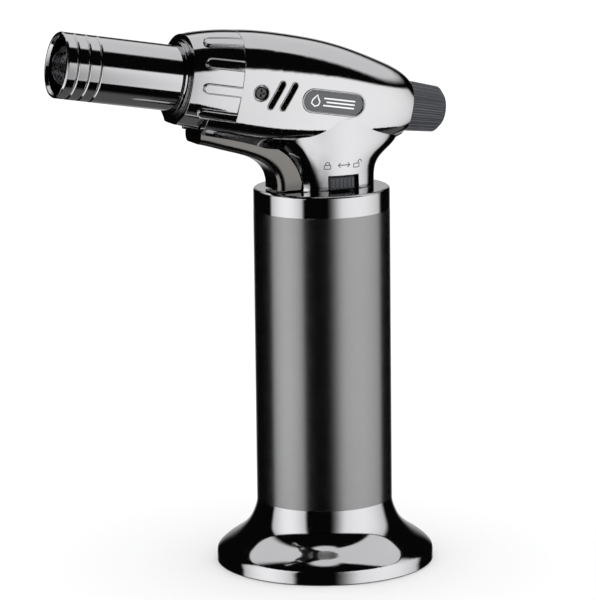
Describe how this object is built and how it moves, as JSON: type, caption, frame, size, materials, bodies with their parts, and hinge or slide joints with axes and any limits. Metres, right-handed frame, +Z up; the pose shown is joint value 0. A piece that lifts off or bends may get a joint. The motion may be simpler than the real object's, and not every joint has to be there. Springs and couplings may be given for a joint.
{
  "type": "butane torch",
  "caption": "Hand-held butane torch that stands on a flared base, with a tilted barrel, piezo trigger, flow knob and lock slider.",
  "frame": {"origin": "centre of the base's resting plane, on the axis of the fuel tank", "axes": "+Z up along the tank, the nozzle points to -X and tilts upwards, the flow knob is on the +X side, and the lock slider faces -Y"},
  "size_m": [0.1285, 0.068, 0.1714],
  "materials": {
    "black_chrome": "polished",
    "black_gloss": "gloss",
    "knob_plastic": "satin",
    "badge_grey": "gloss",
    "steel": "satin",
    "brass": "satin",
    "zinc_casting": "matte",
    "rubber": "matte",
    "black_plastic": "matte",
    "tank_plastic": "satin",
    "lead_silicone": "satin",
    "white_ceramic": "satin",
    "wick_felt": "matte"
  },
  "bodies": {
    "torch": {"base": "black_chrome", "tank_ring": "black_chrome", "collar": "black_chrome", "left_shell": "black_chrome", "right_shell": "black_chrome", "barrel": "black_chrome", "barrel_ring": "black_chrome", "tank_sleeve": "black_gloss", "left_badge": "badge_grey", "right_badge": "badge_grey", "shell_screws": "steel", "neck_screws": "steel", "base_screws": "steel", "trigger_pin": "steel", "lever_pin": "steel", "electrode": "steel", "burner_tube": "steel", "flame_holder": "steel", "burner_disc": "steel", "flow_valve_body": "brass", "gas_pipe": "brass", "jet": "brass", "outlet_valve_body": "brass", "refill_valve_body": "brass", "burner_block": "zinc_casting", "gas_hose": "rubber", "tank_cap_seal": "rubber", "refill_seal": "rubber", "chassis": "black_plastic", "piezo_body": "black_plastic", "base_cover": "black_plastic", "fuel_tank": "tank_plastic", "tank_cap": "tank_plastic", "ignition_lead": "lead_silicone", "insulator": "white_ceramic", "wick": "wick_felt"},
    "trigger": {"trigger": "black_chrome"},
    "plunger": {"piezo_plunger": "black_plastic"},
    "lever": {"valve_lever": "steel"},
    "stem": {"outlet_stem": "brass"},
    "slider": {"lock_slider": "knob_plastic"},
    "knob": {"flow_knob": "knob_plastic", "flow_spindle": "brass", "spindle_seal": "rubber"},
    "filler": {"refill_stem": "steel"}
  },
  "joints": [
    {"name": "trigger_pull", "type": "hinge", "parent": "torch", "child": "trigger", "pos_m": [-0.0395, 0, 0.139], "axis": [0, -1, 0], "range_deg": [0, 6.5], "stiffness_Nm_per_rad": 1.5},
    {"name": "piezo_plunge", "type": "slide", "parent": "torch", "child": "plunger", "axis": [0.5286, 0, 0.8489], "range_m": [0, 0.0037]},
    {"name": "valve_lever_tilt", "type": "hinge", "parent": "torch", "child": "lever", "pos_m": [0.0045, 0, 0.1214], "axis": [0, 1, 0], "range_deg": [0, 13]},
    {"name": "outlet_stem_lift", "type": "slide", "parent": "torch", "child": "stem", "axis": [0, 0, 1], "range_m": [0, 0.0015]},
    {"name": "lock_slide", "type": "slide", "parent": "torch", "child": "slider", "axis": [1, 0, 0], "range_m": [0, 0.0022]},
    {"name": "flow_knob_turn", "type": "hinge", "parent": "torch", "child": "knob", "pos_m": [0, 0, 0.14689], "axis": [-0.9855, 0, 0.1695], "range_deg": [0, 300]},
    {"name": "refill_stem_press", "type": "slide", "parent": "torch", "child": "filler", "axis": [0, 0, 1], "range_m": [0, 0.0016], "stiffness_N_per_m": 800}
  ],
  "couplings": [
    {"joint": "piezo_plunge", "follows": "trigger_pull", "m_per_rad": 0.03122},
    {"joint": "valve_lever_tilt", "follows": "trigger_pull", "ratio": 1.95},
    {"joint": "outlet_stem_lift", "follows": "trigger_pull", "m_per_rad": 0.0128}
  ]
}
